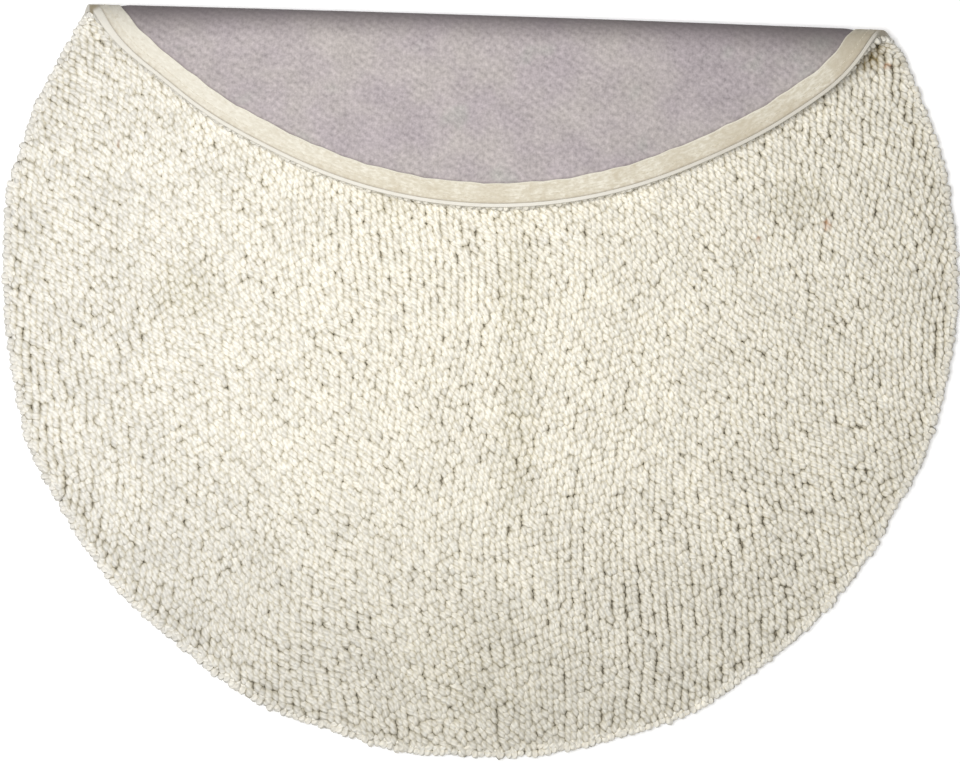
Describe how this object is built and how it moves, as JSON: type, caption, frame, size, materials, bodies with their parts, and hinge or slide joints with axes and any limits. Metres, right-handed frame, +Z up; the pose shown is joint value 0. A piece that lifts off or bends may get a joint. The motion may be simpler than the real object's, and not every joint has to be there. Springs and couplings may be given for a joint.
{
  "type": "round loop-pile rug folded over at one side",
  "caption": "Round ivory rug of thick uncut loops, lying flat with one side folded over to show its felted grey backing, cream binding tape and white edge band.",
  "frame": {"origin": "centre of the round rug, on the floor", "axes": "+X along the fold, +Y from the rug's centre towards the fold, +Z up from the floor"},
  "size_m": [1.2001, 0.9281, 0.0483],
  "materials": {
    "loop_pile": "thick ivory wool yarn in uncut loops, matte, with olive-brown shadows between the loops",
    "backing": "mauve-grey felted backing cloth with a faint twill and soft blotches, matte",
    "tape": "cream woven cotton tape, 25 mm wide, stitched near its outer edge, lightly soiled",
    "edge": "smooth white woven edge band, matte"
  },
  "bodies": {
    "root": {"pile_carpet": "loop_pile", "backing_cloth": "backing", "binding_tape": "tape", "edge_binding": "edge"}
  },
  "joints": []
}
